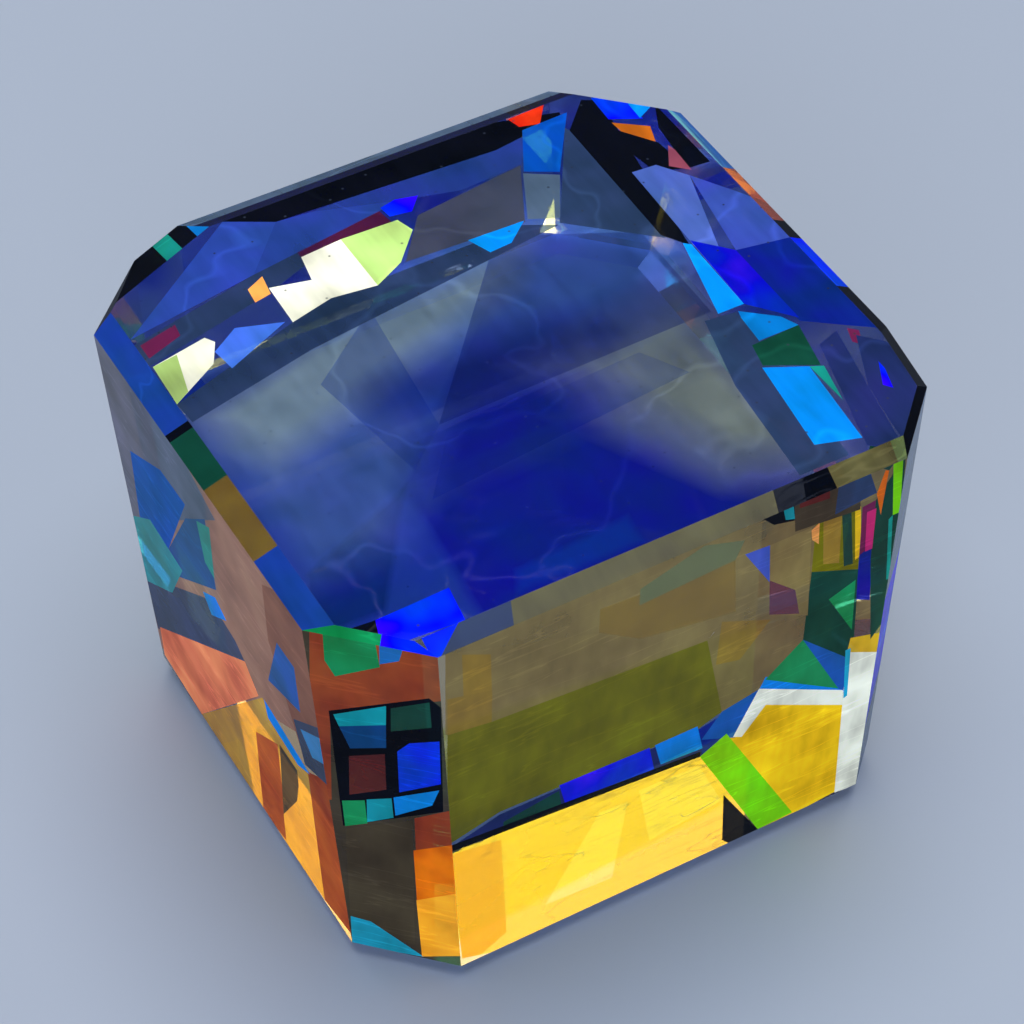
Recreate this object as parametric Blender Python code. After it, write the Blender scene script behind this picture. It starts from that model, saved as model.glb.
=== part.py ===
"""A large step-cut gemstone, ground facet by facet from a rough block as a lapidary would.

The stone is one closed solid. +Z is up, -Y is the front wall, and the stone rests on the flat
facet underneath, with the middle of its bounding box above the origin. Every facet is one
grinding plane: it faces a compass direction seen from above, and two points say how steep it is
and how far out from the stone's axis it lies.
"""

import math

import bmesh
import bpy
from mathutils import Vector

NODE = "gemstone"
MM = 0.001

# Driving heights: the wall starts above a small bevel and ends at the girdle.
HEIGHT = 25.3 * MM
GIRDLE_HEIGHT = 24.9 * MM
WALL_FOOT_HEIGHT = 1.0 * MM

# The bevel under each wall runs in by this much before it meets the flat underside.
FOOT_BEVEL = 1.0 * MM

# Each wall: name, direction it faces in degrees from +X, its distance from the stone's axis at
# the girdle and at its foot, and how far the crown facet above it slopes in to the table.
WALLS = (
    ("right", 0.0, 16.00 * MM, 14.50 * MM, 0.70 * MM),
    ("far_corner", 45.0, 18.78 * MM, 17.80 * MM, 0.40 * MM),
    ("back", 90.0, 15.36 * MM, 14.24 * MM, 1.26 * MM),
    ("back_left", 114.0, 17.82 * MM, 16.90 * MM, 1.60 * MM),
    ("left_corner", 135.0, 18.57 * MM, 18.00 * MM, 0.40 * MM),
    ("left", 180.0, 16.00 * MM, 14.40 * MM, 1.18 * MM),
    ("front_corner", 225.0, 19.18 * MM, 17.37 * MM, 0.30 * MM),
    ("front", 270.0, 15.36 * MM, 14.00 * MM, 0.98 * MM),
    ("right_corner", 315.0, 19.30 * MM, 18.30 * MM, 0.40 * MM),
    ("front_right", 351.0, 17.00 * MM, 15.70 * MM, 0.60 * MM),
)

# The rough block is larger than the finished stone all round.
ROUGH_SIZE = 60.0 * MM
WELD = 0.001 * MM

# Finish of the bare solid.
COLOUR = (0.20, 0.28, 0.72, 1.0)
ROUGHNESS = 0.05
REFRACTIVE_INDEX = 1.62


def clear_scene():
    """Remove every object the file starts with."""
    for thing in list(bpy.data.objects):
        bpy.data.objects.remove(thing)


def grinding_plane(azimuth, low, high):
    """The plane facing azimuth through two points, each a (distance out, height) pair."""
    bearing = math.radians(azimuth)
    outward = Vector((math.cos(bearing), math.sin(bearing), 0.0))
    run = high[0] - low[0]
    rise = high[1] - low[1]
    normal = (outward * rise - Vector((0.0, 0.0, run))).normalized()
    point = outward * low[0] + Vector((0.0, 0.0, low[1]))
    return point, normal


def grind(stone, point, normal):
    """Grind away everything beyond the plane and close the cut with one flat facet."""
    everything = stone.verts[:] + stone.edges[:] + stone.faces[:]
    bmesh.ops.bisect_plane(
        stone, geom=everything, dist=WELD, plane_co=point, plane_no=normal, clear_outer=True
    )
    rim = [edge for edge in stone.edges if edge.is_boundary]
    if rim:
        bmesh.ops.edgeloop_fill(stone, edges=rim)


def grind_wall(stone, azimuth, girdle_out, foot_out, crown_inset):
    """Grind one tall wall, the crown facet above it and the small bevel at its foot."""
    underside = (foot_out - FOOT_BEVEL, 0.0)
    foot = (foot_out, WALL_FOOT_HEIGHT)
    girdle = (girdle_out, GIRDLE_HEIGHT)
    table_edge = (girdle_out - crown_inset, HEIGHT)
    for low, high in ((underside, foot), (foot, girdle), (girdle, table_edge)):
        point, normal = grinding_plane(azimuth, low, high)
        grind(stone, point, normal)


def centre_over_origin(stone):
    """Move the stone so that the middle of its outline lies above the origin."""
    for axis in (0, 1):
        places = [corner.co[axis] for corner in stone.verts]
        shift = -0.5 * (min(places) + max(places))
        for corner in stone.verts:
            corner.co[axis] += shift


def cut_stone():
    """Cut the whole stone from a rough block and return it as a bmesh."""
    stone = bmesh.new()
    bmesh.ops.create_cube(stone, size=ROUGH_SIZE)
    grind(stone, Vector((0.0, 0.0, 0.0)), Vector((0.0, 0.0, -1.0)))
    grind(stone, Vector((0.0, 0.0, HEIGHT)), Vector((0.0, 0.0, 1.0)))
    for _, azimuth, girdle_out, foot_out, crown_inset in WALLS:
        grind_wall(stone, azimuth, girdle_out, foot_out, crown_inset)
    bmesh.ops.remove_doubles(stone, verts=stone.verts[:], dist=WELD)
    centre_over_origin(stone)
    bmesh.ops.recalc_face_normals(stone, faces=stone.faces[:])
    return stone


def stone_material():
    """A clear blue crystal with a polished surface."""
    material = bpy.data.materials.new("coated_topaz")
    material.use_nodes = True
    shader = material.node_tree.nodes["Principled BSDF"]
    shader.inputs["Base Color"].default_value = COLOUR
    shader.inputs["Roughness"].default_value = ROUGHNESS
    shader.inputs["Metallic"].default_value = 0.0
    shader.inputs["IOR"].default_value = REFRACTIVE_INDEX
    return material


def main():
    clear_scene()
    stone = cut_stone()
    mesh = bpy.data.meshes.new(NODE)
    stone.to_mesh(mesh)
    stone.free()
    mesh.materials.append(stone_material())
    gemstone = bpy.data.objects.new(NODE, mesh)
    bpy.context.scene.collection.objects.link(gemstone)


main()
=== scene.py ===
# %% [markdown]
# # A large step-cut topaz with a rainbow coating
#
# The stone is one piece of clear crystal. Tall walls run up to a broad flat table, the corners
# are cut off, and a coating thinner than a soap film lies on the facets and gives the clear
# crystal its blue, gold and green. Most of what is seen in the table is the underside of the
# stone, bent upwards by refraction, so the colours have to be laid on real facets and looked at
# through real glass.
#
# First the imported model is loaded, and its box is kept.

# %% Load the fixed frame
import math

import bmesh
import bpy
from mathutils import Matrix, Vector


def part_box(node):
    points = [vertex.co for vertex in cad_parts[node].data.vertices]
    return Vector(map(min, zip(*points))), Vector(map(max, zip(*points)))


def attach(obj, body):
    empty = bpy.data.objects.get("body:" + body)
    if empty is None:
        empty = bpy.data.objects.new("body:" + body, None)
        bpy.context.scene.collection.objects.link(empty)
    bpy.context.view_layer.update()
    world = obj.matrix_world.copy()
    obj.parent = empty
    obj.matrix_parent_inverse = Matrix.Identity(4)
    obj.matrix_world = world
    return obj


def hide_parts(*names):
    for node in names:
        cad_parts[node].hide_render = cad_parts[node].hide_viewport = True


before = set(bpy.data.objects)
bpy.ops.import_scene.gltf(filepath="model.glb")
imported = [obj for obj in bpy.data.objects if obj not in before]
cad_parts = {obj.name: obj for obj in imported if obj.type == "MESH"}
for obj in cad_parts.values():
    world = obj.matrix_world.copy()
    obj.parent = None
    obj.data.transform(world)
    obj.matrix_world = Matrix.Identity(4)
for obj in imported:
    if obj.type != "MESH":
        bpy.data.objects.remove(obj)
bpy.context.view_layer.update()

MM = 0.001
STONE_NODE = "gemstone"
LOW, HIGH = (Vector(corner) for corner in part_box(STONE_NODE))
print("stone from", [round(v / MM, 2) for v in LOW], "to", [round(v / MM, 2) for v in HIGH], "mm")

# %% [markdown]
# ## The camera
#
# A gem is judged by what is seen through its table, so the view comes first. A long lens stands
# back from the stone and looks down at about forty-five degrees, over the front left corner. It
# is turned three times about a pivot just above the floor, and then moved in its own
# directions: a little sideways, a little up and far back.

# %% Camera
CAMERA_TURN = math.radians(-28.62)
CAMERA_TILT = math.radians(44.51)
CAMERA_ROLL = math.radians(-1.06)
CAMERA_PIVOT = Vector((0.0, 0.0, 1.0)) * MM
CAMERA_OFFSET = Vector((0.0864, 9.1648, 166.954)) * MM
NEAREST_SEEN = 1.0 * MM
LENS = 114.5
SENSOR = 36.0

turned = (
    Matrix.Rotation(CAMERA_TURN, 4, "Z")
    @ Matrix.Rotation(CAMERA_TILT, 4, "X")
    @ Matrix.Rotation(CAMERA_ROLL, 4, "Z")
)
camera_data = bpy.data.cameras.new("camera")
camera_data.lens = LENS
camera_data.sensor_width = SENSOR
camera_data.sensor_fit = "HORIZONTAL"
camera_data.clip_start = NEAREST_SEEN
camera = bpy.data.objects.new("camera", camera_data)
camera.matrix_world = Matrix.Translation(turned @ CAMERA_OFFSET + CAMERA_PIVOT) @ turned
bpy.context.scene.collection.objects.link(camera)
bpy.context.scene.camera = camera
print("camera at", [round(v / MM, 1) for v in camera.matrix_world.translation], "mm")

# %% [markdown]
# ## The floor
#
# The floor is a pale, cool sheet of paper. It lies a hair below the stone, because two surfaces
# in exactly the same place fight in the render: each ray finds the one or the other by chance,
# and a clear stone would turn black underneath. A real stone rests on a few high points too.

# %% Floor
FLOOR_SIZE = 2400.0 * MM
AIR_GAP = 0.05 * MM
FLOOR_COLOUR = (0.30, 0.36, 0.48, 1.0)
PAPER_ROUGHNESS = 0.9


def new_object(name, mesh):
    """Put a mesh into the scene as an object at the origin."""
    thing = bpy.data.objects.new(name, mesh)
    bpy.context.scene.collection.objects.link(thing)
    return thing


floor_sheet = bmesh.new()
bmesh.ops.create_grid(floor_sheet, x_segments=1, y_segments=1, size=FLOOR_SIZE / 2)
for corner in floor_sheet.verts:
    corner.co.z = -AIR_GAP
floor_mesh = bpy.data.meshes.new("floor")
floor_sheet.to_mesh(floor_mesh)
floor_sheet.free()
floor = new_object("floor", floor_mesh)
paper = bpy.data.materials.new("floor_paper")
paper.use_nodes = True
paper_shader = paper.node_tree.nodes["Principled BSDF"]
paper_shader.inputs["Base Color"].default_value = FLOOR_COLOUR
paper_shader.inputs["Roughness"].default_value = PAPER_ROUGHNESS
floor_mesh.materials.append(paper)
print("floor", round(FLOOR_SIZE / MM), "mm across")

# %% [markdown]
# ## The lights
#
# A clear stone has no light of its own: every bright patch in it is a lamp seen by way of the
# facets. So each softbox is placed by the direction it is seen in from the stone. The warm one
# behind is what the lower front wall shows after one bounce on the underside, and it turns gold
# in the coating. It hangs just too high to be mirrored by the table. The broad disk overhead
# lights the coating on the table, and the one in front lights the walls.

# %% Lights
SKY_COLOUR = (0.55, 0.62, 0.75, 1.0)
SKY_STRENGTH = 0.22
WARM = (1.0, 0.84, 0.56)
WHITE = (1.0, 1.0, 1.0)

sky = bpy.data.worlds.new("studio")
sky.use_nodes = True
sky.node_tree.nodes["Background"].inputs["Color"].default_value = SKY_COLOUR
sky.node_tree.nodes["Background"].inputs["Strength"].default_value = SKY_STRENGTH
bpy.context.scene.world = sky


def softbox(name, shape, azimuth, elevation, distance, size, power, colour):
    """An area light that faces the stone from a direction given in degrees."""
    lamp = bpy.data.lights.new(name, "AREA")
    lamp.shape = shape
    lamp.size = size
    lamp.energy = power
    lamp.color = colour
    around = math.radians(azimuth)
    up = math.radians(elevation)
    out = Vector((math.cos(around) * math.cos(up), math.sin(around) * math.cos(up), math.sin(up)))
    facing = out.to_track_quat("Z", "Y").to_matrix().to_4x4()
    light = bpy.data.objects.new(name, lamp)
    light.matrix_world = Matrix.Translation(out * distance) @ facing
    bpy.context.scene.collection.objects.link(light)
    print(name, "spans", round(math.degrees(2.0 * math.atan(size / 2.0 / distance)), 1), "degrees")


softbox(
    "back_softbox", "SQUARE", azimuth=60.0, elevation=64.2,
    distance=6000.0 * MM, size=3510.0 * MM, power=128.0, colour=WARM,
)
softbox(
    "front_softbox", "SQUARE", azimuth=235.0, elevation=20.0,
    distance=3000.0 * MM, size=2000.0 * MM, power=50.0, colour=WHITE,
)
softbox(
    "top_softbox", "DISK", azimuth=238.0, elevation=90.0,
    distance=3000.0 * MM, size=2800.0 * MM, power=80.0, colour=WHITE,
)

# %% [markdown]
# ## Bounces
#
# Light may cross and bounce in the stone many times before it finds a way out. If it is cut off
# too early, the deep corners go black. The plain "Standard" view keeps the strong colours of
# the coating, where a filmic one would wash them out.

# %% Bounces
INSIDE_BOUNCES = 14
MIRROR_BOUNCES = 8

cycles = bpy.context.scene.cycles
cycles.max_bounces = INSIDE_BOUNCES
cycles.transmission_bounces = INSIDE_BOUNCES
cycles.glossy_bounces = MIRROR_BOUNCES
bpy.context.scene.view_settings.view_transform = "Standard"
print("a ray may bounce", cycles.max_bounces, "times")

# %% [markdown]
# ## The facets
#
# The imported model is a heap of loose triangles. A copy of it is welded and its flat runs are
# dissolved, which gives one face for each ground facet. Each facet then gets a name from where
# it faces and how high it lies, so that the coating can be told facet by facet.

# %% Weld the facets
WELD = 0.001 * MM
FLAT_ANGLE = math.radians(0.5)

cut = bmesh.new()
cut.from_mesh(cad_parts[STONE_NODE].data)
bmesh.ops.remove_doubles(cut, verts=cut.verts[:], dist=WELD)
bmesh.ops.dissolve_limit(cut, angle_limit=FLAT_ANGLE, verts=cut.verts[:], edges=cut.edges[:])
bmesh.ops.recalc_face_normals(cut, faces=cut.faces[:])
print("facets", len(cut.faces))

# %% Name the facets
COMPASS = {
    "right": 0.0,
    "far_corner": 45.0,
    "back": 90.0,
    "back_left": 114.0,
    "left_corner": 135.0,
    "left": 180.0,
    "front_corner": 225.0,
    "front": 270.0,
    "right_corner": 315.0,
    "front_right": 351.0,
}
LEVEL = 0.999
CROWN_FLOOR = HIGH.z - 0.45 * MM
FOOT_CEILING = LOW.z + 1.0 * MM


def turn_between(one, other):
    """The smaller angle between two compass directions, in degrees."""
    return abs((one - other + 180.0) % 360.0 - 180.0)


def facet_name(face):
    """Name a facet by its level and the direction it faces."""
    n = face.normal
    if n.z > LEVEL:
        return "table"
    if n.z < -LEVEL:
        return "base"
    azimuth = math.degrees(math.atan2(n.y, n.x)) % 360.0
    side = min(COMPASS, key=lambda name: turn_between(azimuth, COMPASS[name]))
    middle = face.calc_center_median().z
    if middle > CROWN_FLOOR:
        return "crown_" + side
    if middle < FOOT_CEILING:
        return "foot_" + side
    return side


print(sorted(facet_name(face) for face in cut.faces))

# %% [markdown]
# ## The colours of the coating
#
# A coated facet tints what passes through it. The shader takes the square root of its Base
# Color for each crossing, so a film is written here as what one crossing lets through, and
# squared. The same colour serves where the coating is dense and scatters light back.

# %% Films
def film(red, green, blue):
    """The Base Color of a film that lets this much through in one crossing."""
    return (red * red, green * green, blue * blue, 1.0)


FILM = {
    "clear": film(0.98, 0.98, 0.98),
    "mist": film(0.60, 0.74, 0.98),
    "pale_blue": film(0.62, 0.78, 1.00),
    "haze": film(0.30, 0.42, 0.82),
    "dusk": film(0.18, 0.30, 0.74),
    "violet": film(0.24, 0.35, 0.82),
    "blue": film(0.26, 0.46, 1.00),
    "deep_blue": film(0.05, 0.10, 0.86),
    "bright_blue": film(0.02, 0.36, 1.00),
    "royal": film(0.03, 0.13, 0.98),
    "azure": film(0.04, 0.52, 0.96),
    "cobalt": film(0.10, 0.24, 0.62),
    "lapis": film(0.03, 0.32, 0.80),
    "sea_blue": film(0.10, 0.34, 0.70),
    "marine": film(0.05, 0.24, 0.48),
    "midnight": film(0.06, 0.14, 0.52),
    "navy": film(0.08, 0.10, 0.55),
    "indigo": film(0.12, 0.16, 0.36),
    "steel": film(0.35, 0.45, 0.58),
    "slate": film(0.16, 0.23, 0.38),
    "smoke": film(0.35, 0.38, 0.48),
    "ink": film(0.05, 0.06, 0.09),
    "harbour": film(0.45, 0.60, 0.80),
    "dark_teal": film(0.05, 0.30, 0.55),
    "cyan": film(0.12, 0.70, 0.88),
    "peacock": film(0.08, 0.56, 0.62),
    "teal": film(0.09, 0.60, 0.55),
    "pine": film(0.07, 0.25, 0.20),
    "green": film(0.08, 0.56, 0.30),
    "fern": film(0.46, 0.56, 0.34),
    "lime": film(0.46, 0.88, 0.08),
    "pistachio": film(0.74, 0.92, 0.50),
    "olive": film(0.42, 0.41, 0.05),
    "cream": film(0.98, 1.00, 0.92),
    "straw": film(0.80, 0.84, 0.80),
    "butter": film(1.00, 0.92, 0.42),
    "honey": film(0.95, 0.78, 0.16),
    "corn": film(1.00, 0.79, 0.12),
    "gold": film(0.94, 0.66, 0.05),
    "amber": film(0.86, 0.52, 0.02),
    "ochre": film(0.60, 0.47, 0.16),
    "sand": film(0.53, 0.46, 0.27),
    "tan": film(0.52, 0.43, 0.27),
    "umber": film(0.25, 0.22, 0.17),
    "apricot": film(0.98, 0.62, 0.30),
    "orange": film(1.00, 0.62, 0.15),
    "salmon": film(0.98, 0.52, 0.38),
    "copper": film(0.66, 0.32, 0.09),
    "rust": film(0.62, 0.25, 0.12),
    "sienna": film(0.50, 0.31, 0.26),
    "oxblood": film(0.36, 0.12, 0.10),
    "flame": film(0.95, 0.42, 0.06),
    "bronze": film(0.36, 0.35, 0.22),
    "scarlet": film(0.80, 0.15, 0.08),
    "rose": film(0.62, 0.43, 0.37),
    "magenta": film(0.82, 0.16, 0.45),
    "mauve": film(0.50, 0.24, 0.32),
    "plum": film(0.42, 0.13, 0.30),
}
TONES = list(FILM)
print(len(TONES), "films")

# %% [markdown]
# ## Chips of colour
#
# On the real stone the colour breaks up into sharp-sided chips, each the image of one facet in
# another. Here those images are painted: most chips lay onto their facet, as a dense coat, the
# colour, glint or shade that is seen there from the camera, and a clear chip only tints the glass.
# They could be painted with a mask in the shader, but the glass is looked through many times for
# each point of the image, and a hundred masks make that slow. Here each chip is scored into its
# facet, so a chip is simply a face with its own colour, as crisp as the facets themselves.
#
# The chips of the four facets that face the camera are laid out in its view, as a painter would
# do it. A corner is a column and a row of a square view 1024 wide, counted from the top left.
# The outline is only a sketch: further down it is dropped onto its facet, where its corners
# settle on a grid of a tenth of a millimetre and its sides close round them.

# %% Chips
def chip(tone, coat, *corners):
    """One chip: its film, its density from 0 (clear) to 1, and the corners of its outline."""
    return tone, coat, corners


# %% Chips in the table
# Painted reflections: faint planes of the far side, crossing in the middle of the table.
CROSSED_PLANES = (
    chip("violet", 0.008, (496, 236), (640, 232), (712, 312), (440, 425)),
    chip("blue", 0.006, (370, 310), (440, 425), (415, 470), (320, 385)),
    chip("blue", 0.003, (445, 440), (640, 352), (690, 372), (432, 500)),
)
# Painted reflections and shade: the dim bands along the back of the table, and the dark bar behind
# them.
BACK_BANDS = (
    chip("slate", 0.6, (292, 322), (332, 298), (520, 225), (560, 225),
         (480, 258), (345, 318), (312, 350)),
    chip("slate", 0.6, (178, 404), (292, 322), (312, 350), (192, 422)),
    chip("slate", 0.6, (130, 348), (255, 275), (272, 292), (150, 367)),
    chip("slate", 0.6, (255, 275), (290, 243), (310, 262), (280, 285), (268, 292)),
    chip("plum", 0.3, (290, 243), (375, 208), (392, 222), (301, 257)),
    chip("smoke", 0.3, (405, 262), (418, 215), (520, 165), (524, 222)),
    chip("dusk", 0.55, (130, 340), (222, 222), (275, 222), (255, 275)),
    chip("dusk", 0.45, (255, 275), (275, 222), (310, 212), (400, 200), (290, 243)),
    chip("dusk", 0.35, (400, 200), (310, 212), (524, 132), (522, 165), (460, 190)),
    chip("ink", 0.9, (222, 222), (275, 222), (495, 150), (560, 118), (560, 112), (495, 122)),
)
# Painted sparks, and dark bars of painted shade, in the far corner.
FAR_CORNER = (
    chip("scarlet", 0.9, (508, 120), (543, 105), (540, 124), (520, 127)),
    chip("lapis", 0.6, (522, 130), (567, 113), (562, 150), (560, 172), (523, 172)),
    chip("steel", 0.5, (523, 174), (560, 174), (560, 218), (527, 220)),
    chip("slate", 0.75, (566, 128), (580, 135), (640, 190), (665, 238), (560, 222)),
    chip("ink", 0.6, (580, 100), (600, 100), (670, 225), (690, 245), (660, 235), (570, 130)),
    chip("royal", 0.9, (592, 98), (622, 96), (642, 118), (608, 120)),
    chip("azure", 0.8, (622, 96), (652, 104), (640, 118)),
    chip("copper", 0.85, (612, 122), (650, 126), (656, 142), (630, 140)),
    chip("ink", 0.85, (655, 104), (710, 162), (688, 168), (658, 128)),
    chip("ink", 0.7, (610, 128), (632, 142), (658, 142), (688, 168), (655, 172), (620, 145)),
    chip("mauve", 0.9, (668, 145), (676, 150), (692, 170), (668, 166)),
)
# Painted reflections: blue, green and violet planes down the right side.
RIGHT_SIDE = (
    chip("haze", 0.6, (632, 172), (655, 165), (690, 175), (740, 300), (690, 240)),
    chip("violet", 0.5, (690, 175), (740, 192), (778, 207), (800, 235), (735, 250)),
    chip("midnight", 0.75, (735, 250), (800, 235), (845, 280), (900, 330), (800, 320)),
    chip("royal", 0.45, (690, 240), (735, 250), (800, 318), (744, 303)),
    chip("azure", 0.9, (683, 243), (692, 245), (744, 303), (718, 314)),
    chip("azure", 0.6, (738, 312), (780, 316), (800, 325), (752, 343)),
    chip("slate", 0.7, (705, 320), (737, 312), (800, 420), (850, 455), (800, 475), (735, 385)),
    chip("pine", 0.8, (752, 345), (800, 325), (822, 365), (764, 366)),
    chip("azure", 0.8, (762, 368), (808, 366), (862, 438), (815, 445)),
    chip("teal", 0.7, (808, 366), (824, 365), (842, 400)),
    chip("indigo", 0.95, (820, 345), (836, 330), (905, 450), (868, 445)),
    chip("plum", 0.7, (846, 328), (858, 330), (862, 345), (852, 342)),
    chip("indigo", 0.9, (856, 335), (900, 345), (935, 388), (905, 445), (868, 385)),
    chip("royal", 0.9, (878, 362), (884, 368), (893, 388), (883, 384)),
    chip("pine", 0.5, (870, 445), (905, 450), (895, 456), (868, 452)),
)
# Painted glints: the brightest highlights, along the back band.
GLINTS = (
    chip("cream", 0.95, (301, 257), (340, 240), (356, 248), (378, 286), (332, 298), (312, 280)),
    chip("cream", 0.9, (270, 288), (312, 280), (332, 298), (292, 322)),
    chip("pistachio", 0.8, (340, 240), (398, 220), (412, 230), (400, 262), (378, 286), (356, 248)),
    chip("royal", 0.85, (380, 208), (395, 200), (418, 195), (412, 212), (390, 216)),
    chip("azure", 0.85, (468, 240), (524, 220), (512, 242), (490, 252)),
    chip("cream", 0.8, (152, 367), (205, 338), (216, 342), (214, 364), (178, 404)),
    chip("pistachio", 0.6, (152, 367), (176, 355), (188, 392), (178, 404)),
    chip("blue", 0.7, (215, 352), (235, 328), (285, 322), (232, 368)),
    chip("apricot", 0.9, (247, 290), (262, 276), (270, 294), (255, 303)),
    chip("plum", 0.6, (140, 345), (174, 325), (180, 335), (150, 358)),
)
# A painted reflection: the blue kite over the near corner.
NEAR_CORNER = (
    chip("royal", 0.95, (378, 650), (376, 620), (450, 588), (465, 620)),
    chip("ink", 0.7, (352, 628), (376, 620), (378, 636)),
)
TABLE_CHIPS = CROSSED_PLANES + BACK_BANDS + FAR_CORNER + RIGHT_SIDE + GLINTS + NEAR_CORNER
print(len(TABLE_CHIPS), "chips")

# %% Chips in the left wall
# Painted reflections: three broad grounds that the rest lies on.
LEFT_GROUNDS = (
    chip("rose", 0.65, (85, 315), (320, 605), (345, 700), (340, 760),
         (264, 699), (150, 640), (115, 500)),
    chip("smoke", 0.75, (85, 315), (165, 425), (215, 520), (175, 505), (115, 520)),
    chip("sienna", 0.75, (262, 585), (325, 612), (352, 700), (352, 800), (300, 745), (268, 640)),
)
# Painted reflections: blue and green chips towards the back edge.
LEFT_BLUES = (
    chip("sea_blue", 0.9, (130, 450), (160, 470), (185, 505), (168, 552), (140, 520)),
    chip("dark_teal", 0.75, (168, 550), (185, 518), (205, 520), (216, 590), (165, 572)),
    chip("teal", 0.7, (196, 520), (209, 528), (214, 578), (205, 562)),
    chip("slate", 0.7, (145, 575), (165, 585), (210, 600), (235, 640), (245, 662), (158, 628)),
    chip("azure", 0.8, (203, 592), (215, 597), (227, 622), (212, 615)),
    chip("peacock", 0.7, (128, 515), (150, 520), (182, 570), (172, 592), (145, 580)),
)
# Painted reflections: salmon, gold and rust stripes along the foot.
LEFT_STRIPES = (
    chip("gold", 0.55, (202, 714), (262, 697), (310, 775), (352, 935), (325, 900), (219, 745)),
    chip("salmon", 1.0, (160, 627), (245, 662), (258, 695), (202, 714), (165, 655)),
    chip("gold", 0.5, (202, 714), (262, 697), (269, 722), (238, 740), (219, 745)),
    chip("gold", 0.5, (238, 740), (256, 732), (264, 812), (243, 782)),
    chip("rust", 0.8, (256, 732), (278, 745), (288, 842), (264, 812)),
    chip("umber", 0.8, (280, 745), (300, 775), (295, 820), (284, 815)),
    chip("gold", 0.5, (284, 815), (297, 800), (323, 897), (287, 842)),
    chip("gold", 0.5, (297, 765), (309, 780), (326, 897), (305, 850)),
    chip("rust", 0.85, (308, 772), (336, 785), (352, 935), (325, 900)),
)
# Painted blue sparks beside the near corner.
LEFT_SPARKS = (
    chip("azure", 0.9, (264, 699), (272, 712), (310, 775), (298, 765), (268, 718)),
    chip("slate", 0.75, (293, 718), (338, 735), (338, 795), (305, 765)),
    chip("azure", 0.55, (300, 728), (328, 742), (330, 768), (312, 757)),
    chip("sea_blue", 0.8, (277, 643), (294, 668), (300, 712), (268, 680)),
)
LEFT_CHIPS = LEFT_GROUNDS + LEFT_BLUES + LEFT_STRIPES + LEFT_SPARKS
print(len(LEFT_CHIPS), "chips")

# %% Chips in the front corner
# Painted reflections: the rust-red frame round the dark panel.
CORNER_GROUNDS = (
    chip("umber", 0.7, (300, 600), (470, 600), (480, 980), (300, 980)),
    chip("rust", 0.62, (310, 610), (455, 640), (455, 700), (310, 715)),
    chip("rust", 0.6, (305, 705), (331, 705), (331, 800), (305, 800)),
    chip("green", 0.7, (321, 622), (375, 640), (380, 668), (335, 677), (325, 660)),
    chip("azure", 0.4, (378, 636), (405, 645), (400, 662), (380, 664)),
)
# Painted shade and reflections: the dark panel and the chips inside it.
CORNER_PANEL = (
    chip("ink", 0.9, (329, 711), (430, 698), (440, 708), (443, 812), (343, 826)),
    chip("peacock", 0.9, (333, 714), (385, 706), (386, 725), (340, 726)),
    chip("marine", 0.8, (338, 726), (386, 725), (386, 748), (350, 748)),
    chip("pine", 0.7, (390, 708), (430, 703), (432, 728), (390, 732)),
    chip("oxblood", 0.6, (350, 756), (385, 754), (387, 790), (350, 795)),
    chip("royal", 0.8, (398, 752), (410, 744), (440, 742), (442, 785), (400, 792)),
    chip("green", 0.7, (342, 800), (365, 800), (368, 824), (345, 826)),
    chip("peacock", 0.8, (367, 800), (392, 798), (394, 818), (368, 822)),
    chip("azure", 0.8, (393, 798), (440, 790), (432, 806), (395, 816)),
)
# Painted reflections: the columns under the panel.
CORNER_FOOT = (
    chip("umber", 0.85, (345, 828), (412, 820), (415, 945), (352, 935)),
    chip("cyan", 0.7, (350, 916), (372, 922), (424, 957), (352, 944)),
    chip("rust", 0.7, (414, 818), (475, 806), (478, 850), (416, 858)),
    chip("flame", 0.85, (414, 850), (478, 842), (480, 920), (419, 920)),
    chip("orange", 0.95, (417, 900), (482, 890), (492, 956), (422, 956)),
)
FRONT_CORNER_CHIPS = CORNER_GROUNDS + CORNER_PANEL + CORNER_FOOT
print(len(FRONT_CORNER_CHIPS), "chips")

# %% Chips in the front wall
# Painted reflections: the sand and olive panel, with warm clouds in it.
FRONT_PANEL = (
    chip("sand", 0.5, (445, 655), (910, 450), (910, 615), (727, 628)),
    chip("sand", 0.55, (445, 655), (727, 615), (707, 640), (495, 722), (445, 735)),
    chip("ochre", 0.55, (462, 655), (490, 655), (492, 700), (464, 702)),
    chip("ochre", 0.5, (447, 700), (492, 690), (492, 722), (447, 735)),
    chip("ochre", 0.28, (600, 610), (735, 560), (735, 612), (640, 640), (600, 632)),
    chip("fern", 0.14, (640, 590), (705, 545), (745, 540), (735, 560), (640, 605)),
    chip("olive", 0.6, (447, 735), (492, 722), (500, 812), (447, 846)),
    chip("olive", 0.6, (492, 722), (707, 640), (722, 712), (700, 728), (500, 812)),
    chip("sand", 0.5, (707, 640), (727, 617), (805, 615), (810, 640), (742, 705), (722, 712)),
    chip("ochre", 0.5, (722, 622), (770, 620), (740, 660), (715, 665)),
)
# Painted reflections and shade: the thin blue band under the panel, and the black line below.
BLUE_BAND = (
    chip("indigo", 0.85, (447, 850), (500, 814), (700, 728), (704, 757), (503, 840)),
    chip("midnight", 0.8, (698, 730), (742, 703), (735, 737), (704, 757)),
    chip("royal", 0.65, (560, 785), (650, 748), (655, 772), (565, 806)),
    chip("azure", 0.7, (655, 745), (697, 727), (702, 748), (660, 765)),
    chip("pine", 0.7, (503, 822), (560, 790), (562, 808), (503, 832)),
    chip("ink", 0.85, (450, 846), (503, 832), (700, 752), (700, 757), (503, 840), (450, 852)),
)
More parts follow.
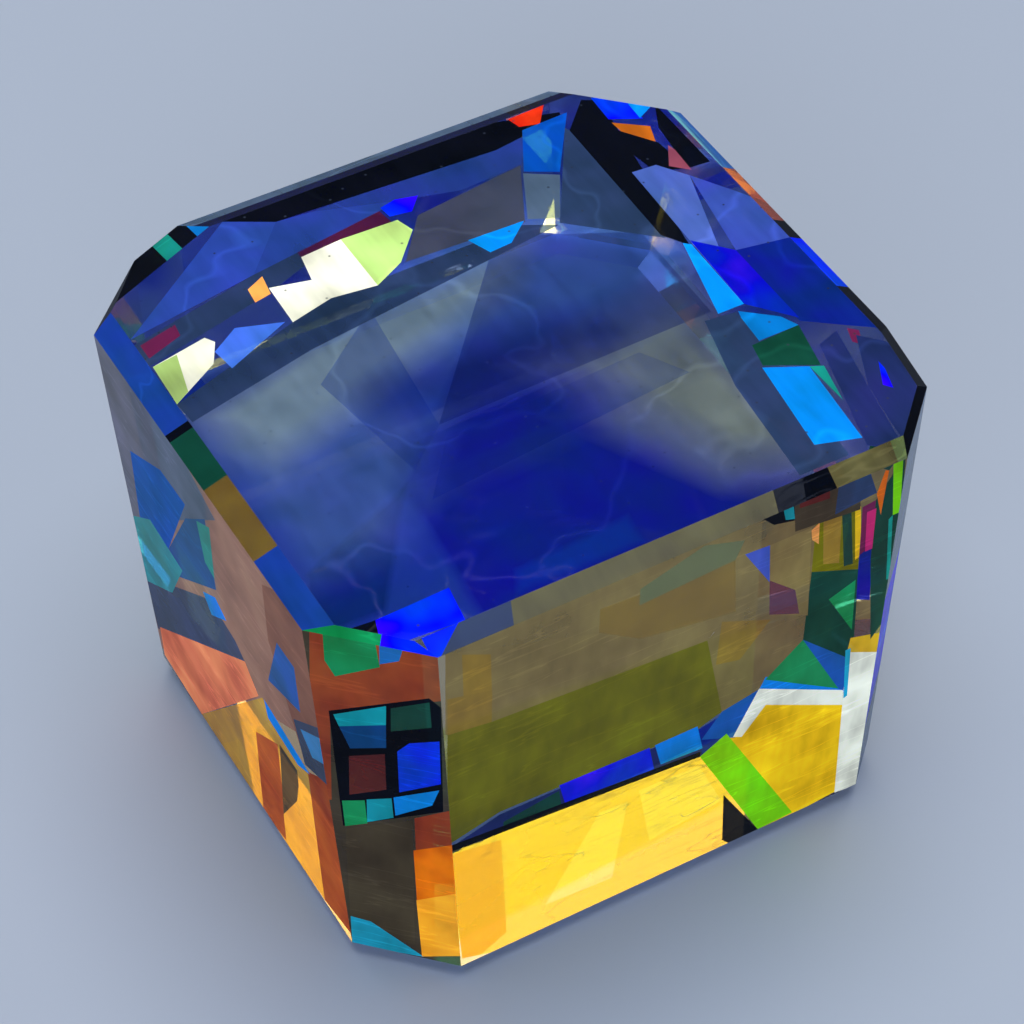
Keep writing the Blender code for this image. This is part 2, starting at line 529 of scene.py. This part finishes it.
# The clear golden windows along the foot.
FOOT_GLOW = (
    chip("honey", 0.0, (450, 852), (700, 757), (757, 829), (507, 950), (462, 958)),
    chip("amber", 0.0, (450, 855), (502, 840), (507, 932), (480, 955), (462, 958)),
    chip("corn", 0.0, (507, 860), (590, 838), (540, 905), (509, 915)),
    chip("butter", 0.0, (545, 905), (600, 812), (628, 802), (612, 878)),
    chip("butter", 0.0, (640, 790), (700, 765), (722, 800), (650, 840)),
)
# A painted highlight: the bright block at the right end of the foot, with painted reflections round
# it.
FOOT_RIGHT = (
    chip("corn", 1.0, (722, 735), (765, 700), (843, 700), (838, 790), (792, 815), (757, 829)),
    chip("sea_blue", 0.8, (702, 740), (722, 712), (762, 688), (735, 737)),
    chip("cream", 0.9, (733, 737), (760, 688), (765, 705), (742, 737)),
    chip("azure", 0.8, (765, 677), (848, 680), (846, 692), (758, 691)),
    chip("cream", 0.9, (760, 688), (843, 690), (843, 705), (765, 705)),
    chip("lime", 0.9, (700, 757), (727, 733), (792, 812), (757, 829)),
    chip("ink", 0.8, (723, 795), (757, 829), (733, 845), (722, 840)),
    chip("green", 0.7, (765, 680), (803, 640), (838, 688)),
    chip("sea_blue", 0.8, (803, 640), (850, 620), (845, 690), (838, 688)),
    chip("pine", 0.8, (812, 572), (858, 570), (852, 660), (803, 640), (806, 615)),
    chip("green", 0.75, (828, 600), (855, 580), (852, 630)),
    chip("cream", 1.0, (847, 650), (882, 650), (868, 780), (835, 792)),
    chip("corn", 0.7, (850, 638), (884, 632), (882, 652), (847, 652)),
    chip("cyan", 0.8, (846, 650), (851, 648), (848, 695), (843, 698)),
)
# The small painted sparks and bars at the right end, under the crown.
FRONT_RIGHT_END = (
    chip("sand", 0.7, (770, 545), (812, 528), (808, 615), (770, 615)),
    chip("violet", 0.7, (745, 555), (770, 545), (770, 582)),
    chip("mauve", 0.3, (770, 580), (795, 590), (800, 614), (770, 614)),
    chip("olive", 0.8, (815, 525), (860, 507), (858, 570), (812, 572)),
    chip("ochre", 0.7, (824, 521), (842, 516), (840, 562), (823, 564)),
    chip("pine", 0.6, (842, 515), (852, 511), (852, 564), (843, 566)),
    chip("corn", 0.8, (855, 510), (861, 507), (860, 556), (855, 560)),
    chip("plum", 0.8, (862, 508), (876, 500), (872, 545), (860, 555)),
    chip("navy", 0.85, (860, 555), (872, 545), (870, 600), (856, 600)),
    chip("pine", 0.7, (876, 500), (905, 455), (898, 600), (870, 640), (870, 560)),
    chip("lime", 0.85, (893, 464), (904, 457), (900, 512), (892, 515)),
    chip("teal", 0.8, (888, 520), (892, 515), (890, 578), (886, 580)),
    chip("magenta", 0.8, (867, 512), (876, 508), (873, 548), (864, 552)),
    chip("flame", 0.7, (876, 495), (886, 470), (890, 470), (880, 515)),
    chip("apricot", 0.7, (812, 530), (820, 522), (818, 545), (812, 540)),
    chip("ink", 0.85, (752, 512), (790, 488), (795, 500), (795, 520), (775, 524)),
    chip("peacock", 0.8, (780, 490), (792, 484), (794, 520), (786, 520)),
    chip("umber", 0.8, (795, 480), (860, 462), (860, 510), (795, 532)),
    chip("oxblood", 0.7, (798, 476), (829, 466), (830, 498), (800, 508)),
    chip("slate", 0.7, (840, 480), (870, 470), (877, 492), (835, 515)),
    chip("pine", 0.6, (862, 462), (872, 450), (905, 450), (890, 470)),
)
FRONT_CHIPS = FRONT_PANEL + BLUE_BAND + FOOT_GLOW + FOOT_RIGHT + FRONT_RIGHT_END
print(len(FRONT_CHIPS), "chips")

# %% [markdown]
# The crown facets and the right corner are slivers in the view, too thin to sketch on. Their
# chips are measured on the facet itself, in millimetres: how far along it, and how high above
# the underside. Most of them are blocks that cover the whole height of the crown.

# %% Chips in millimetres
CROWN_SPAN = (24.0, 26.0)


def block(tone, coat, start, end):
    """A chip that covers a crown facet from one distance along it to another."""
    low, high = CROWN_SPAN
    return chip(tone, coat, (start, low), (end, low), (end, high), (start, high))


# Painted reflections: steel blue and royal blue on the tall right corner.
RIGHT_CORNER_CHIPS = (
    chip("steel", 0.55, (8.0, -1.0), (18.0, -1.0), (18.0, 26.0), (8.0, 26.0)),
    chip("royal", 0.6, (8.0, 4.0), (18.0, 8.0), (18.0, 14.0), (8.0, 16.0)),
)
# A painted reflection: a thin grey line along the back of the crown.
CROWN_BACK_CHIPS = (
    chip("steel", 0.45, (-16.0, 24.8), (16.0, 24.8), (16.0, 25.1), (-16.0, 25.1)),
)
# Painted reflections: blue, green and brown blocks down the left.
CROWN_LEFT_CHIPS = (
    block("cobalt", 0.65, 2.5, 12.5),
    block("ink", 0.8, 2.0, 2.5),
    block("pine", 0.7, -1.5, 2.0),
    block("ochre", 0.3, -6.5, -1.5),
    block("cobalt", 0.65, -12.0, -6.5),
)
# Painted reflections: bronze along the front, with a dark end, a green end and a blue spark.
CROWN_FRONT_CHIPS = (
    block("bronze", 0.6, -12.0, 14.0),
    chip("slate", 0.5, (-12.0, 24.0), (-9.0, 24.0), (-7.0, 26.0), (-12.0, 26.0)),
    chip("ink", 0.7, (4.5, 24.0), (8.0, 24.0), (8.5, 26.0), (6.0, 26.0)),
    chip("fern", 0.5, (11.0, 24.0), (14.0, 24.0), (14.0, 26.0), (12.0, 26.0)),
    chip("royal", 0.95, (-12.0, 24.9), (-11.6, 24.9), (-9.9, 25.4), (-12.0, 25.4)),
)
# Painted reflections: half green, half blue on the near corner.
CROWN_CORNER_CHIPS = (
    block("green", 0.7, -4.0, 0.0),
    block("royal", 0.95, 0.0, 4.0),
)
# Painted reflections and shade: blue, rust and black blocks down the right.
CROWN_RIGHT_CHIPS = (
    block("sea_blue", 0.6, 5.5, 12.0),
    block("rust", 0.4, 1.0, 5.5),
    block("ink", 0.8, -0.5, 1.0),
    block("royal", 0.9, -4.5, -0.5),
    block("ink", 0.8, -12.0, -4.5),
)
# Painted shade: black on the rest of the crown, with two painted sparks at the back left.
CROWN_FAR_CHIPS = (
    block("ink", 0.7, -16.0, 16.0),
    block("teal", 0.6, -11.0, -10.0),
    block("azure", 0.6, -9.0, -8.0),
)
print(len(CROWN_LEFT_CHIPS), "chips on the left crown,", len(CROWN_FRONT_CHIPS), "in front")

# %% [markdown]
# ## Which facet carries what
#
# Every facet has a ground film that covers it, two directions to measure its chips along, and
# its chips, laid in order, so that a later chip lies over an earlier one.

# %% Facets
ALONG_X = Vector((1.0, 0.0, 0.0))
ALONG_Y = Vector((0.0, 1.0, 0.0))
UP = Vector((0.0, 0.0, 1.0))
ALONG_CORNER = Vector((1.0, -1.0, 0.0)).normalized()

FACETS = {
    "table": ("clear", ALONG_X, ALONG_Y, TABLE_CHIPS),
    "base": ("mist", ALONG_X, ALONG_Y, ()),
    "front": ("clear", ALONG_X, UP, FRONT_CHIPS),
    "back": ("tan", ALONG_X, UP, ()),
    "left": ("clear", ALONG_Y, UP, LEFT_CHIPS),
    "right": ("orange", ALONG_Y, UP, ()),
    "front_corner": ("clear", ALONG_CORNER, UP, FRONT_CORNER_CHIPS),
    "right_corner": ("harbour", ALONG_X, UP, RIGHT_CORNER_CHIPS),
    "front_right": ("harbour", ALONG_Y, UP, ()),
    "far_corner": ("teal", ALONG_X, UP, ()),
    "left_corner": ("teal", ALONG_X, UP, ()),
    "back_left": ("gold", ALONG_X, UP, ()),
    "crown_front": ("sand", ALONG_X, UP, CROWN_FRONT_CHIPS),
    "crown_front_corner": ("sea_blue", ALONG_CORNER, UP, CROWN_CORNER_CHIPS),
    "crown_left": ("clear", ALONG_Y, UP, CROWN_LEFT_CHIPS),
    "crown_back": ("navy", ALONG_X, UP, CROWN_BACK_CHIPS),
    "crown_right": ("midnight", ALONG_Y, UP, CROWN_RIGHT_CHIPS),
    "crown": ("slate", ALONG_X, UP, CROWN_FAR_CHIPS),
    "foot": ("blue", ALONG_X, ALONG_Y, ()),
}
NAMES = list(FACETS)

facet_of = cut.faces.layers.int.new("facet")
tone_of = cut.faces.layers.int.new("tone")
coat_of = cut.faces.layers.float.new("coat")
for face in cut.faces:
    name = facet_name(face)
    if name not in FACETS:
        name = name.split("_")[0]
    face[facet_of] = NAMES.index(name)
    face[tone_of] = TONES.index(FACETS[name][0])
print(len(NAMES), "kinds of facet")

# %% [markdown]
# ## Dropping the sketched chips onto their facets
#
# A line of sight starts at the camera and runs through one point of its view. Where it meets the
# plane of the facet lies the corner of the chip. Measured along the facet and rounded to the
# grid, the corners give a convex outline, and that is all a chip needs.

# %% Drop onto a facet
VIEW_SIZE = 1024.0
CHIP_GRID = 0.1 * MM
SKETCHED = ("table", "left", "front_corner", "front")
PLANES = {facet_name(face): (face.verts[0].co.copy(), face.normal.copy()) for face in cut.faces}


def line_of_sight(column, row):
    """The direction in which the camera sees a point of its view."""
    sideways = (column / VIEW_SIZE - 0.5) * SENSOR / LENS
    upwards = (0.5 - row / VIEW_SIZE) * SENSOR / LENS
    return turned.to_3x3() @ Vector((sideways, upwards, -1.0))


def on_plane(column, row, plane):
    """Where the line of sight through a point of the view meets a plane."""
    point, normal = plane
    eye = camera.matrix_world.translation
    sight = line_of_sight(column, row)
    return eye + sight * ((point - eye).dot(normal) / sight.dot(normal))


def turn_left(one, two, three):
    """Above 0 where the way from one through two to three bends to the left."""
    return (two[0] - one[0]) * (three[1] - one[1]) - (two[1] - one[1]) * (three[0] - one[0])


def hull(points):
    """The corners of the convex outline round some points, in order."""
    outline = []
    for run in (sorted(points), sorted(points, reverse=True)):
        chain = []
        for point in run:
            while len(chain) > 1 and turn_left(chain[-2], chain[-1], point) <= 0:
                chain.pop()
            chain.append(point)
        outline.extend(chain[:-1])
    return outline


def dropped(name, across, up, corners):
    """A sketched outline, in millimetres along its facet."""
    places = [on_plane(column, row, PLANES[name]) for column, row in corners]
    steps = {
        (round(place.dot(across) / CHIP_GRID), round(place.dot(up) / CHIP_GRID))
        for place in places
    }
    return tuple((step[0] * CHIP_GRID / MM, step[1] * CHIP_GRID / MM) for step in hull(steps))


_, _, kite_sketch = NEAR_CORNER[0]
kite = dropped("table", ALONG_X, ALONG_Y, kite_sketch)
print("the blue kite:", [(round(x, 1), round(y, 1)) for x, y in kite], "mm")

# %% [markdown]
# ## Scoring the chips
#
# Each side of an outline becomes a plane that stands on the facet. The facet is sliced along
# those planes in turn, and only faces that a side really crosses are cut, so the rest of the
# facet stays whole. What is left inside all the planes is the chip.

# %% Score
CLOSE = 0.01


def outline_planes(corners, across, up):
    """A point and an outward direction for each side of an outline, in millimetres."""
    middle = sum((Vector(corner) for corner in corners), Vector((0.0, 0.0))) / len(corners)
    planes = []
    for start, end in zip(corners, corners[1:] + corners[:1]):
        start = Vector(start)
        side = (Vector(end) - start).normalized()
        out = Vector((side.y, -side.x))
        if out.dot(middle - start) > 0.0:
            out = -out
        planes.append((across * start.x + up * start.y, across * out.x + up * out.y))
    return planes


def side_of(place, plane):
    """How far a place in the stone lies outside a plane, in millimetres."""
    point, out = plane
    return (place / MM - point).dot(out)


def slice_faces(faces, plane):
    """Cut the faces that a plane crosses."""
    crossed = [
        face for face in faces
        if min(side_of(corner.co, plane) for corner in face.verts) < -CLOSE
        and max(side_of(corner.co, plane) for corner in face.verts) > CLOSE
    ]
    if not crossed:
        return
    pieces = set(crossed)
    for face in crossed:
        pieces.update(face.verts)
        pieces.update(face.edges)
    bmesh.ops.bisect_plane(
        cut, geom=list(pieces), dist=WELD, plane_co=plane[0] * MM, plane_no=plane[1]
    )


def score_chip(facet, across, up, tone, coat, corners):
    """Score one chip into a facet and give it its film and density."""
    inside = [face for face in cut.faces if face[facet_of] == facet]
    done = []
    for plane in outline_planes(corners, across, up):
        slice_faces(inside, plane)
        done.append(plane)
        inside = [
            face for face in cut.faces
            if face[facet_of] == facet
            and all(side_of(face.calc_center_median(), cut_side) < 0.0 for cut_side in done)
        ]
    for face in inside:
        face[tone_of] = TONES.index(tone)
        face[coat_of] = coat


for name, (_, across, up, chips) in FACETS.items():
    for tone, coat, corners in chips:
        if name in SKETCHED:
            corners = dropped(name, across, up, corners)
        score_chip(NAMES.index(name), across, up, tone, coat, corners)
print("faces after scoring", len(cut.faces))

# %% [markdown]
# ## Joining what belongs together
#
# Each slice runs on past its chip, so the facets are now in far more pieces than there are
# colours. Limited Dissolve joins flat neighbours again, and it can be told to stop where the
# material changes. So each kind of face gets a material number for a moment.

# %% Join
kinds = {}
for face in cut.faces:
    kind = (face[facet_of], face[tone_of], face[coat_of])
    face.material_index = kinds.setdefault(kind, len(kinds))
bmesh.ops.dissolve_limit(
    cut, angle_limit=FLAT_ANGLE, verts=cut.verts[:], edges=cut.edges[:], delimit={"MATERIAL"}
)
print(len(kinds), "kinds of face in", len(cut.faces), "faces")

# %% [markdown]
# ## Handing the coating to the shader
#
# A shader can't ask a face for its name. It reads attributes, so the film goes into a colour
# attribute and the density into a number beside it. Every corner of a face gets the same value,
# which keeps the edge between two chips sharp.

# %% Attributes
FILM_ATTRIBUTE = "coating"
COAT_ATTRIBUTE = "coat_depth"
FINISHES = ("coated_walls", "coated_table", "coated_base", "coated_back", "ground_edges")
OWN_FINISH = {"table": "coated_table", "base": "coated_base", "back": "coated_back"}

paint = cut.loops.layers.float_color.new(FILM_ATTRIBUTE)
density = cut.loops.layers.float.new(COAT_ATTRIBUTE)
for face in cut.faces:
    finish = OWN_FINISH.get(NAMES[face[facet_of]], "coated_walls")
    face.material_index = FINISHES.index(finish)
    for loop in face.loops:
        loop[paint] = FILM[TONES[face[tone_of]]]
        loop[density] = face[coat_of]
stone_mesh = bpy.data.meshes.new("polished_stone")
cut.to_mesh(stone_mesh)
cut.free()
stone = new_object("polished_stone", stone_mesh)
print("stone has", len(stone_mesh.polygons), "faces")

# %% [markdown]
# ## Shader maths that reads as sums
#
# Nodes are quickest to read as arithmetic. A Wire is one output socket, and adding or
# multiplying it puts a Math node on the bench and gives back that node's output.

# %% Wires
class Wire:
    """One output socket, so that shader maths is written as Python."""

    def __init__(self, bench, socket):
        self.bench = bench
        self.socket = socket

    def maths(self, operation, *others):
        values = dict(enumerate((self, *others)))
        return self.bench.node("ShaderNodeMath", {"operation": operation}, values)

    def __add__(self, other):
        return self.maths("ADD", other)

    def __mul__(self, other):
        return self.maths("MULTIPLY", other)

    __radd__ = __add__
    __rmul__ = __mul__

    def __sub__(self, other):
        return self.maths("SUBTRACT", other)

    def __rsub__(self, other):
        return self.bench.node("ShaderNodeMath", {"operation": "SUBTRACT"}, {0: other, 1: self})

    def least(self, other):
        return self.maths("MINIMUM", other)

    def most(self, other):
        return self.maths("MAXIMUM", other)

    def size(self):
        """The value without its sign."""
        return self.maths("ABSOLUTE")

    def within(self):
        """The value held between 0 and 1."""
        return self.bench.node("ShaderNodeClamp", {}, {"Value": self})


# %% Bench
# A Mix node has sockets of the same name for each kind of data it can mix, so the ones for
# colour are picked by number. A hue value of one half leaves the hue as it is.
MIX_UNDER = 6
MIX_OVER = 7
MIX_RESULT = 2
SAME_HUE = 0.5


class Bench:
    """The node tree of one finish."""

    def __init__(self, name):
        self.material = bpy.data.materials.new(name)
        self.material.use_nodes = True
        self.tree = self.material.node_tree
        self.tree.nodes.clear()

    def node(self, kind, settings, values, output=0):
        """Add a node: its settings first, then the values or wires of its sockets."""
        made = self.tree.nodes.new(kind)
        for setting, value in settings.items():
            setattr(made, setting, value)
        for socket, value in values.items():
            if isinstance(value, Wire):
                self.tree.links.new(value.socket, made.inputs[socket])
            else:
                made.inputs[socket].default_value = value
        return Wire(self, made.outputs[output])

    def place(self):
        """Where a point lies on the stone, in metres."""
        return self.node("ShaderNodeTexCoord", {}, {}, output="Object")

    def along(self, direction):
        """How far a point lies along a direction, in millimetres."""
        settings = {"operation": "DOT_PRODUCT"}
        values = {0: self.place(), 1: direction / MM}
        return self.node("ShaderNodeVectorMath", settings, values, output="Value")

    def blend(self, amount, under, over):
        """Lay one colour over another where amount is 1."""
        values = {0: amount, MIX_UNDER: under, MIX_OVER: over}
        return self.node("ShaderNodeMix", {"data_type": "RGBA"}, values, output=MIX_RESULT)

    def retint(self, colour, turn, light):
        """Turn a colour's hue by a part of the colour circle, and scale its light."""
        values = {"Color": colour, "Hue": turn + SAME_HUE, "Value": light}
        return self.node("ShaderNodeHueSaturation", {}, values)

    def clouds(self, grain, detail=2.0):
        """Noise from 0 to 1. The grain is how often it changes per millimetre, axis by axis."""
        settings = {"operation": "MULTIPLY"}
        values = {0: self.place(), 1: Vector(grain) / MM}
        stretched = self.node("ShaderNodeVectorMath", settings, values)
        values = {"Vector": stretched, "Scale": 1.0, "Detail": detail}
        return self.node("ShaderNodeTexNoise", {}, values)

    def specks(self, spacing, size):
        """1 in the middle of small round specks, sized and spaced in millimetres."""
        values = {"Vector": self.place(), "Scale": 1.0 / (spacing * MM)}
        away = self.node("ShaderNodeTexVoronoi", {"voronoi_dimensions": "2D"}, values)
        return (1.0 - away * (spacing / size)).within()

    def finish(self, shader):
        """Send the shader to the surface and hand over the material."""
        out = self.tree.nodes.new("ShaderNodeOutputMaterial")
        self.tree.links.new(shader.socket, out.inputs["Surface"])
        print(self.material.name, "has", len(self.tree.nodes), "nodes")
        return self.material


# %% [markdown]
# ## Glass and coat
#
# Every finish is made of the same two layers. The glass is fully transmissive. It bends light
# strongly, as the step cut needs for its deep look, and the coating quietens the mirror on its
# outside as a lens coating does: a dark Specular Tint does that and leaves the total reflection
# inside the stone alone. The coat is a matte layer in the film's colour that scatters light
# back. Where it is dense it paints straight onto the surface the reflections, glints, sheen, glow
# and shade of the chips and patches.
#
# A stone of this size is never spotless. Stretched noise gives long fine scratches, which are a
# little dull and bend the surface slightly. Soft clouds and polishing streaks make the dense
# coating drift from light to dark, as a film does that isn't the same thickness everywhere.

# %% Layers
INDEX = 1.95
QUIET = (0.12, 0.14, 0.20, 1.0)
SCRATCH_GRAIN = (0.10, 0.10, 1.10)
SCRATCH_DETAIL = 3.0
SCRATCH_FINENESS = 70.0
SCRATCH_DULLNESS = 0.10
SCRATCH_BEND = 0.05
SCRATCH_DEPTH = 0.01 * MM
DRIFT_GRAIN = (0.28, 0.28, 0.28)
STREAK_GRAIN = (1.6, 0.25, 0.6)
LIGHT_DRIFT = 1.4
STREAK_LIGHT = 0.5
SCRATCH_LIGHT = 0.35
DARKEST = 0.04
HUE_DRIFT = 0.04
COAT_ROUGHNESS = 0.5


def scratches(bench):
    """1 on thin lines that wander across the facets, 0 elsewhere."""
    lines = bench.clouds(SCRATCH_GRAIN, SCRATCH_DETAIL)
    return (1.0 - (lines - 0.5).size() * SCRATCH_FINENESS).within()


def glass(bench, colour, marks):
    """The clear layer, scratched where marks is 1."""
    dents = bench.node(
        "ShaderNodeBump", {"invert": True},
        {"Strength": SCRATCH_BEND, "Distance": SCRATCH_DEPTH, "Height": marks},
    )
    return bench.node("ShaderNodeBsdfPrincipled", {}, {
        "Base Color": colour,
        "Roughness": marks * SCRATCH_DULLNESS,
        "Normal": dents,
        "IOR": INDEX,
        "Transmission Weight": 1.0,
        "Specular Tint": QUIET,
    })


def drifting(bench, colour, marks):
    """A colour that drifts in hue and light, with polishing streaks and bright scratches."""
    drift = bench.clouds(DRIFT_GRAIN)
    streaks = bench.clouds(STREAK_GRAIN)
    light = drift * LIGHT_DRIFT + streaks * STREAK_LIGHT + marks * SCRATCH_LIGHT + DARKEST
    return bench.retint(colour, (drift - 0.5) * HUE_DRIFT, light)


def coat(bench, colour, marks):
    """The dense layer of the coating, a matte film colour that also carries the painted
    reflections, glints and shade.
    """
    return bench.node("ShaderNodeBsdfPrincipled", {}, {
        "Base Color": drifting(bench, colour, marks),
        "Roughness": COAT_ROUGHNESS,
        "Specular IOR Level": 0.0,
    })


def layered(bench, amount, clear, dense):
    """The dense layer over the clear one by an amount from 0 to 1."""
    return bench.node("ShaderNodeMixShader", {}, {0: amount, 1: clear, 2: dense})


# %% [markdown]
# ## Walls
#
# The walls read their chips from the attributes and add nothing else.

# %% Walls
def chip_colour(bench):
    return bench.node("ShaderNodeVertexColor", {"layer_name": FILM_ATTRIBUTE}, {})


def chip_density(bench):
    settings = {"attribute_name": COAT_ATTRIBUTE}
    return bench.node("ShaderNodeAttribute", settings, {}, output="Fac")


def walls_finish(name):
    bench = Bench(name)
    colour = chip_colour(bench)
    marks = scratches(bench)
    clear = glass(bench, colour, marks)
    dense = coat(bench, colour, marks)
    return bench.finish(layered(bench, chip_density(bench), clear, dense))


stone_mesh.materials.append(walls_finish("coated_walls"))

# %% [markdown]
# ## Soft patches
#
# The film on the table, the underside and the back wall also changes slowly from one place to
# the next. Those few broad patches are masks in the shader, which may have soft edges. A mask
# is the distance into a convex outline, turned into a ramp that is as wide as its softness.

# %% Soft mask
def soft_mask(bench, across, up, corners, softness):
    """1 well inside a convex outline, 0 outside it, and a ramp along its edge."""
    inside = None
    for point, out in outline_planes(corners, across, up):
        depth = point.dot(out) - bench.along(out)
        inside = depth if inside is None else inside.least(depth)
    return (inside * (1.0 / softness) + 0.5).within()


# %% [markdown]
# ## Table
#
# A faint blue sheen is painted on the whole table, and the underside of the stone shows through
# it. It is stronger in four soft patches of painted sheen, where light would glance off the film:
# powder blue to the left, sky blue and silver across the middle, and straw at the front right. A
# chip takes the place of the sheen. The faintest chips do so only in part, which makes planes
# that are barely there. A few specks of dust lie over all of it.

# %% Table
# The blue cover and the four patches below are painted sheen: matte film laid where light would
# glance off the table.
SHEEN_COVER = 0.10
BLUE_SHEEN = (0.010, 0.055, 1.0, 1.0)
POWDER_SHEEN = (0.10, 0.20, 0.70, 1.0)
SKY_SHEEN = (0.10, 0.26, 1.0, 1.0)
SILVER_SHEEN = (0.34, 0.52, 0.68, 1.0)
STRAW_SHEEN = (0.34, 0.44, 0.42, 1.0)
SHEEN_PATCHES = (
    (POWDER_SHEEN, 0.26, 3.0,
     ((-15.5, 1.0), (-8.0, 2.0), (-5.0, -3.0), (-10.0, -9.0), (-14.5, -9.0))),
    (SKY_SHEEN, 0.28, 3.0,
     ((-9.0, 5.0), (-4.0, 1.0), (8.0, -1.0), (11.0, 1.0), (10.0, 6.0), (4.0, 9.0))),
    (SILVER_SHEEN, 0.24, 2.4,
     ((-14.5, 2.5), (-8.0, 4.5), (4.0, 5.5), (2.0, 3.0), (-5.5, 0.5), (-12.5, -2.0))),
    (STRAW_SHEEN, 0.22, 4.0,
     ((1.0, -2.5), (9.0, -1.0), (9.0, -14.0), (4.5, -12.0))),
)
CHIP_EDGE = 40.0
DUST_SPACING = 2.6
DUST_SIZE = 0.09
DUST_COVER = 0.6
DUST_COLOUR = (0.03, 0.04, 0.07, 1.0)


def table_finish(name):
    bench = Bench(name)
    sheen = SHEEN_COVER
    sheen_colour = BLUE_SHEEN
    for tint, amount, softness, corners in SHEEN_PATCHES:
        mask = soft_mask(bench, ALONG_X, ALONG_Y, corners, softness)
        sheen = mask * amount + (1.0 - mask) * sheen
        sheen_colour = bench.blend(mask, sheen_colour, tint)
    colour = chip_colour(bench)
    chips = chip_density(bench)
    on_chip = (chips * CHIP_EDGE).within()
    amount = chips.most(sheen * (1.0 - on_chip))
    dust = bench.specks(DUST_SPACING, DUST_SIZE)
    marks = scratches(bench)
    clear = glass(bench, colour, marks)
    film_colour = bench.blend(on_chip, sheen_colour, colour)
    dense = coat(bench, bench.blend(dust, film_colour, DUST_COLOUR), marks)
    return bench.finish(layered(bench, amount.most(dust * DUST_COVER), clear, dense))


stone_mesh.materials.append(table_finish("coated_table"))

# %% [markdown]
# ## Underside and back wall
#
# What the table shows is the underside: deep blue in front, paler towards the far wall and
# straw to the right, with steps between the blues like those of the cut. These patches are the
# film's colour and also painted light and shade of the paper seen through the underside. A
# trace of dense coating adds a painted glow to the underside, so that it doesn't depend on the
# paper under the stone, and a fainter one to the back wall. The back wall is brown above and
# olive below, and gives the front wall its warm half; the olive paints in the shaded floor
# seen through the back wall.

# %% Underside and back wall
# The underside patches are the film's colour and also painted light and shade of the paper seen
# through the underside.
UNDERSIDE = (
    ("blue", 2.4, ((-14.0, 8.2), (16.0, 8.2), (16.0, -14.0), (-14.0, -14.0))),
    ("violet", 0.5, ((8.0, 14.3), (16.0, 18.0), (16.0, 5.2), (-1.5, 5.4))),
    ("pale_blue", 1.2, ((11.8, 15.3), (15.7, 11.1), (15.1, 7.8), (9.1, 12.6))),
    ("pale_blue", 2.0, ((8.5, 13.7), (14.6, 6.9), (15.0, 5.1), (10.7, 5.4), (6.8, 12.2))),
    ("bright_blue", 0.6, ((9.1, 8.0), (10.2, 8.4), (10.4, 6.4), (8.9, 5.8), (8.5, 6.7))),
    ("violet", 1.0, ((-3.4, 10.3), (-1.2, 10.1), (-1.5, 5.5), (-4.1, 2.7))),
    ("deep_blue", 0.6, ((-4.1, 2.7), (16.0, 2.7), (16.0, -14.0), (-5.5, -14.0))),
    ("deep_blue", 0.4, ((-1.5, 5.5), (9.0, 5.4), (8.0, 2.7), (-4.1, 2.7))),
    ("haze", 1.5, ((8.0, 5.4), (15.2, 5.2), (15.0, 2.7), (7.0, 2.7))),
    ("straw", 2.2, ((5.3, 2.7), (14.5, 2.7), (14.5, -8.5), (9.4, -4.9))),
    ("violet", 1.2, ((-4.1, 2.7), (4.5, 2.6), (5.7, 1.4), (-3.8, 0.9))),
    ("dark_teal", 0.4, ((-4.1, 2.7), (-8.5, -3.7), (-12.5, -3.5), (-10.7, 0.1))),
    ("bright_blue", 0.5, ((-2.6, -5.8), (-2.0, -4.6), (4.2, -4.3), (4.0, -5.9))),
)
# The olive band low on the back wall paints in the shaded floor seen through it.
BACK_WALL = (
    ("olive", 0.5, ((-18.0, 0.0), (18.0, 0.0), (18.0, 6.0), (8.6, 7.0), (-6.0, 9.0), (-18.0, 9.2))),
)


def patched_finish(name, ground, patches, across, up, glow):
    bench = Bench(name)
    colour = FILM[ground]
    for tone, softness, corners in patches:
        mask = soft_mask(bench, across, up, corners, softness)
        colour = bench.blend(mask, colour, FILM[tone])
    marks = scratches(bench)
    clear = glass(bench, colour, marks)
    return bench.finish(layered(bench, glow, clear, coat(bench, colour, marks)))


# The glow is painted light: a trace of matte coat that brightens the underside and the back wall by
# itself.
UNDERSIDE_GLOW = 0.12
BACK_GLOW = 0.04
stone_mesh.materials.append(
    patched_finish("coated_base", "mist", UNDERSIDE, ALONG_X, ALONG_Y, UNDERSIDE_GLOW)
)
stone_mesh.materials.append(
    patched_finish("coated_back", "tan", BACK_WALL, ALONG_X, UP, BACK_GLOW)
)

# %% [markdown]
# ## Edges
#
# A knife-sharp edge never catches light in a render, and the edges of a ground stone aren't
# knife-sharp: the polishing lap rounds them by a few hundredths of a millimetre. A one-step
# bevel does that, so the edges catch the real lamps. It also gives the edges a finish of their
# own, a pale blue matte coat in soft clouds that paints a highlight along them.

# %% Edges
EDGE_WIDTH = 0.07 * MM
EDGE_ANGLE = math.radians(8.0)
EDGE_COLOUR = (0.62, 0.74, 0.95, 1.0)
# The pale matte coat on the edges is a painted highlight, laid in soft clouds.
HIGHLIGHT_GRAIN = (0.9, 0.9, 0.9)
EDGE_HIGHLIGHT = 0.5


def edges_finish(name):
    bench = Bench(name)
    marks = scratches(bench)
    clear = glass(bench, EDGE_COLOUR, marks)
    dense = coat(bench, EDGE_COLOUR, marks)
    return bench.finish(layered(bench, bench.clouds(HIGHLIGHT_GRAIN) * EDGE_HIGHLIGHT, clear, dense))


stone_mesh.materials.append(edges_finish("ground_edges"))
edges = stone.modifiers.new("ground_edges", "BEVEL")
edges.width = EDGE_WIDTH
edges.segments = 1
edges.limit_method = "ANGLE"
edges.angle_limit = EDGE_ANGLE
edges.material = FINISHES.index("ground_edges")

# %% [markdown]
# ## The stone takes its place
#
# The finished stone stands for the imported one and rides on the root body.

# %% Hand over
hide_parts(STONE_NODE)
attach(stone, "root")
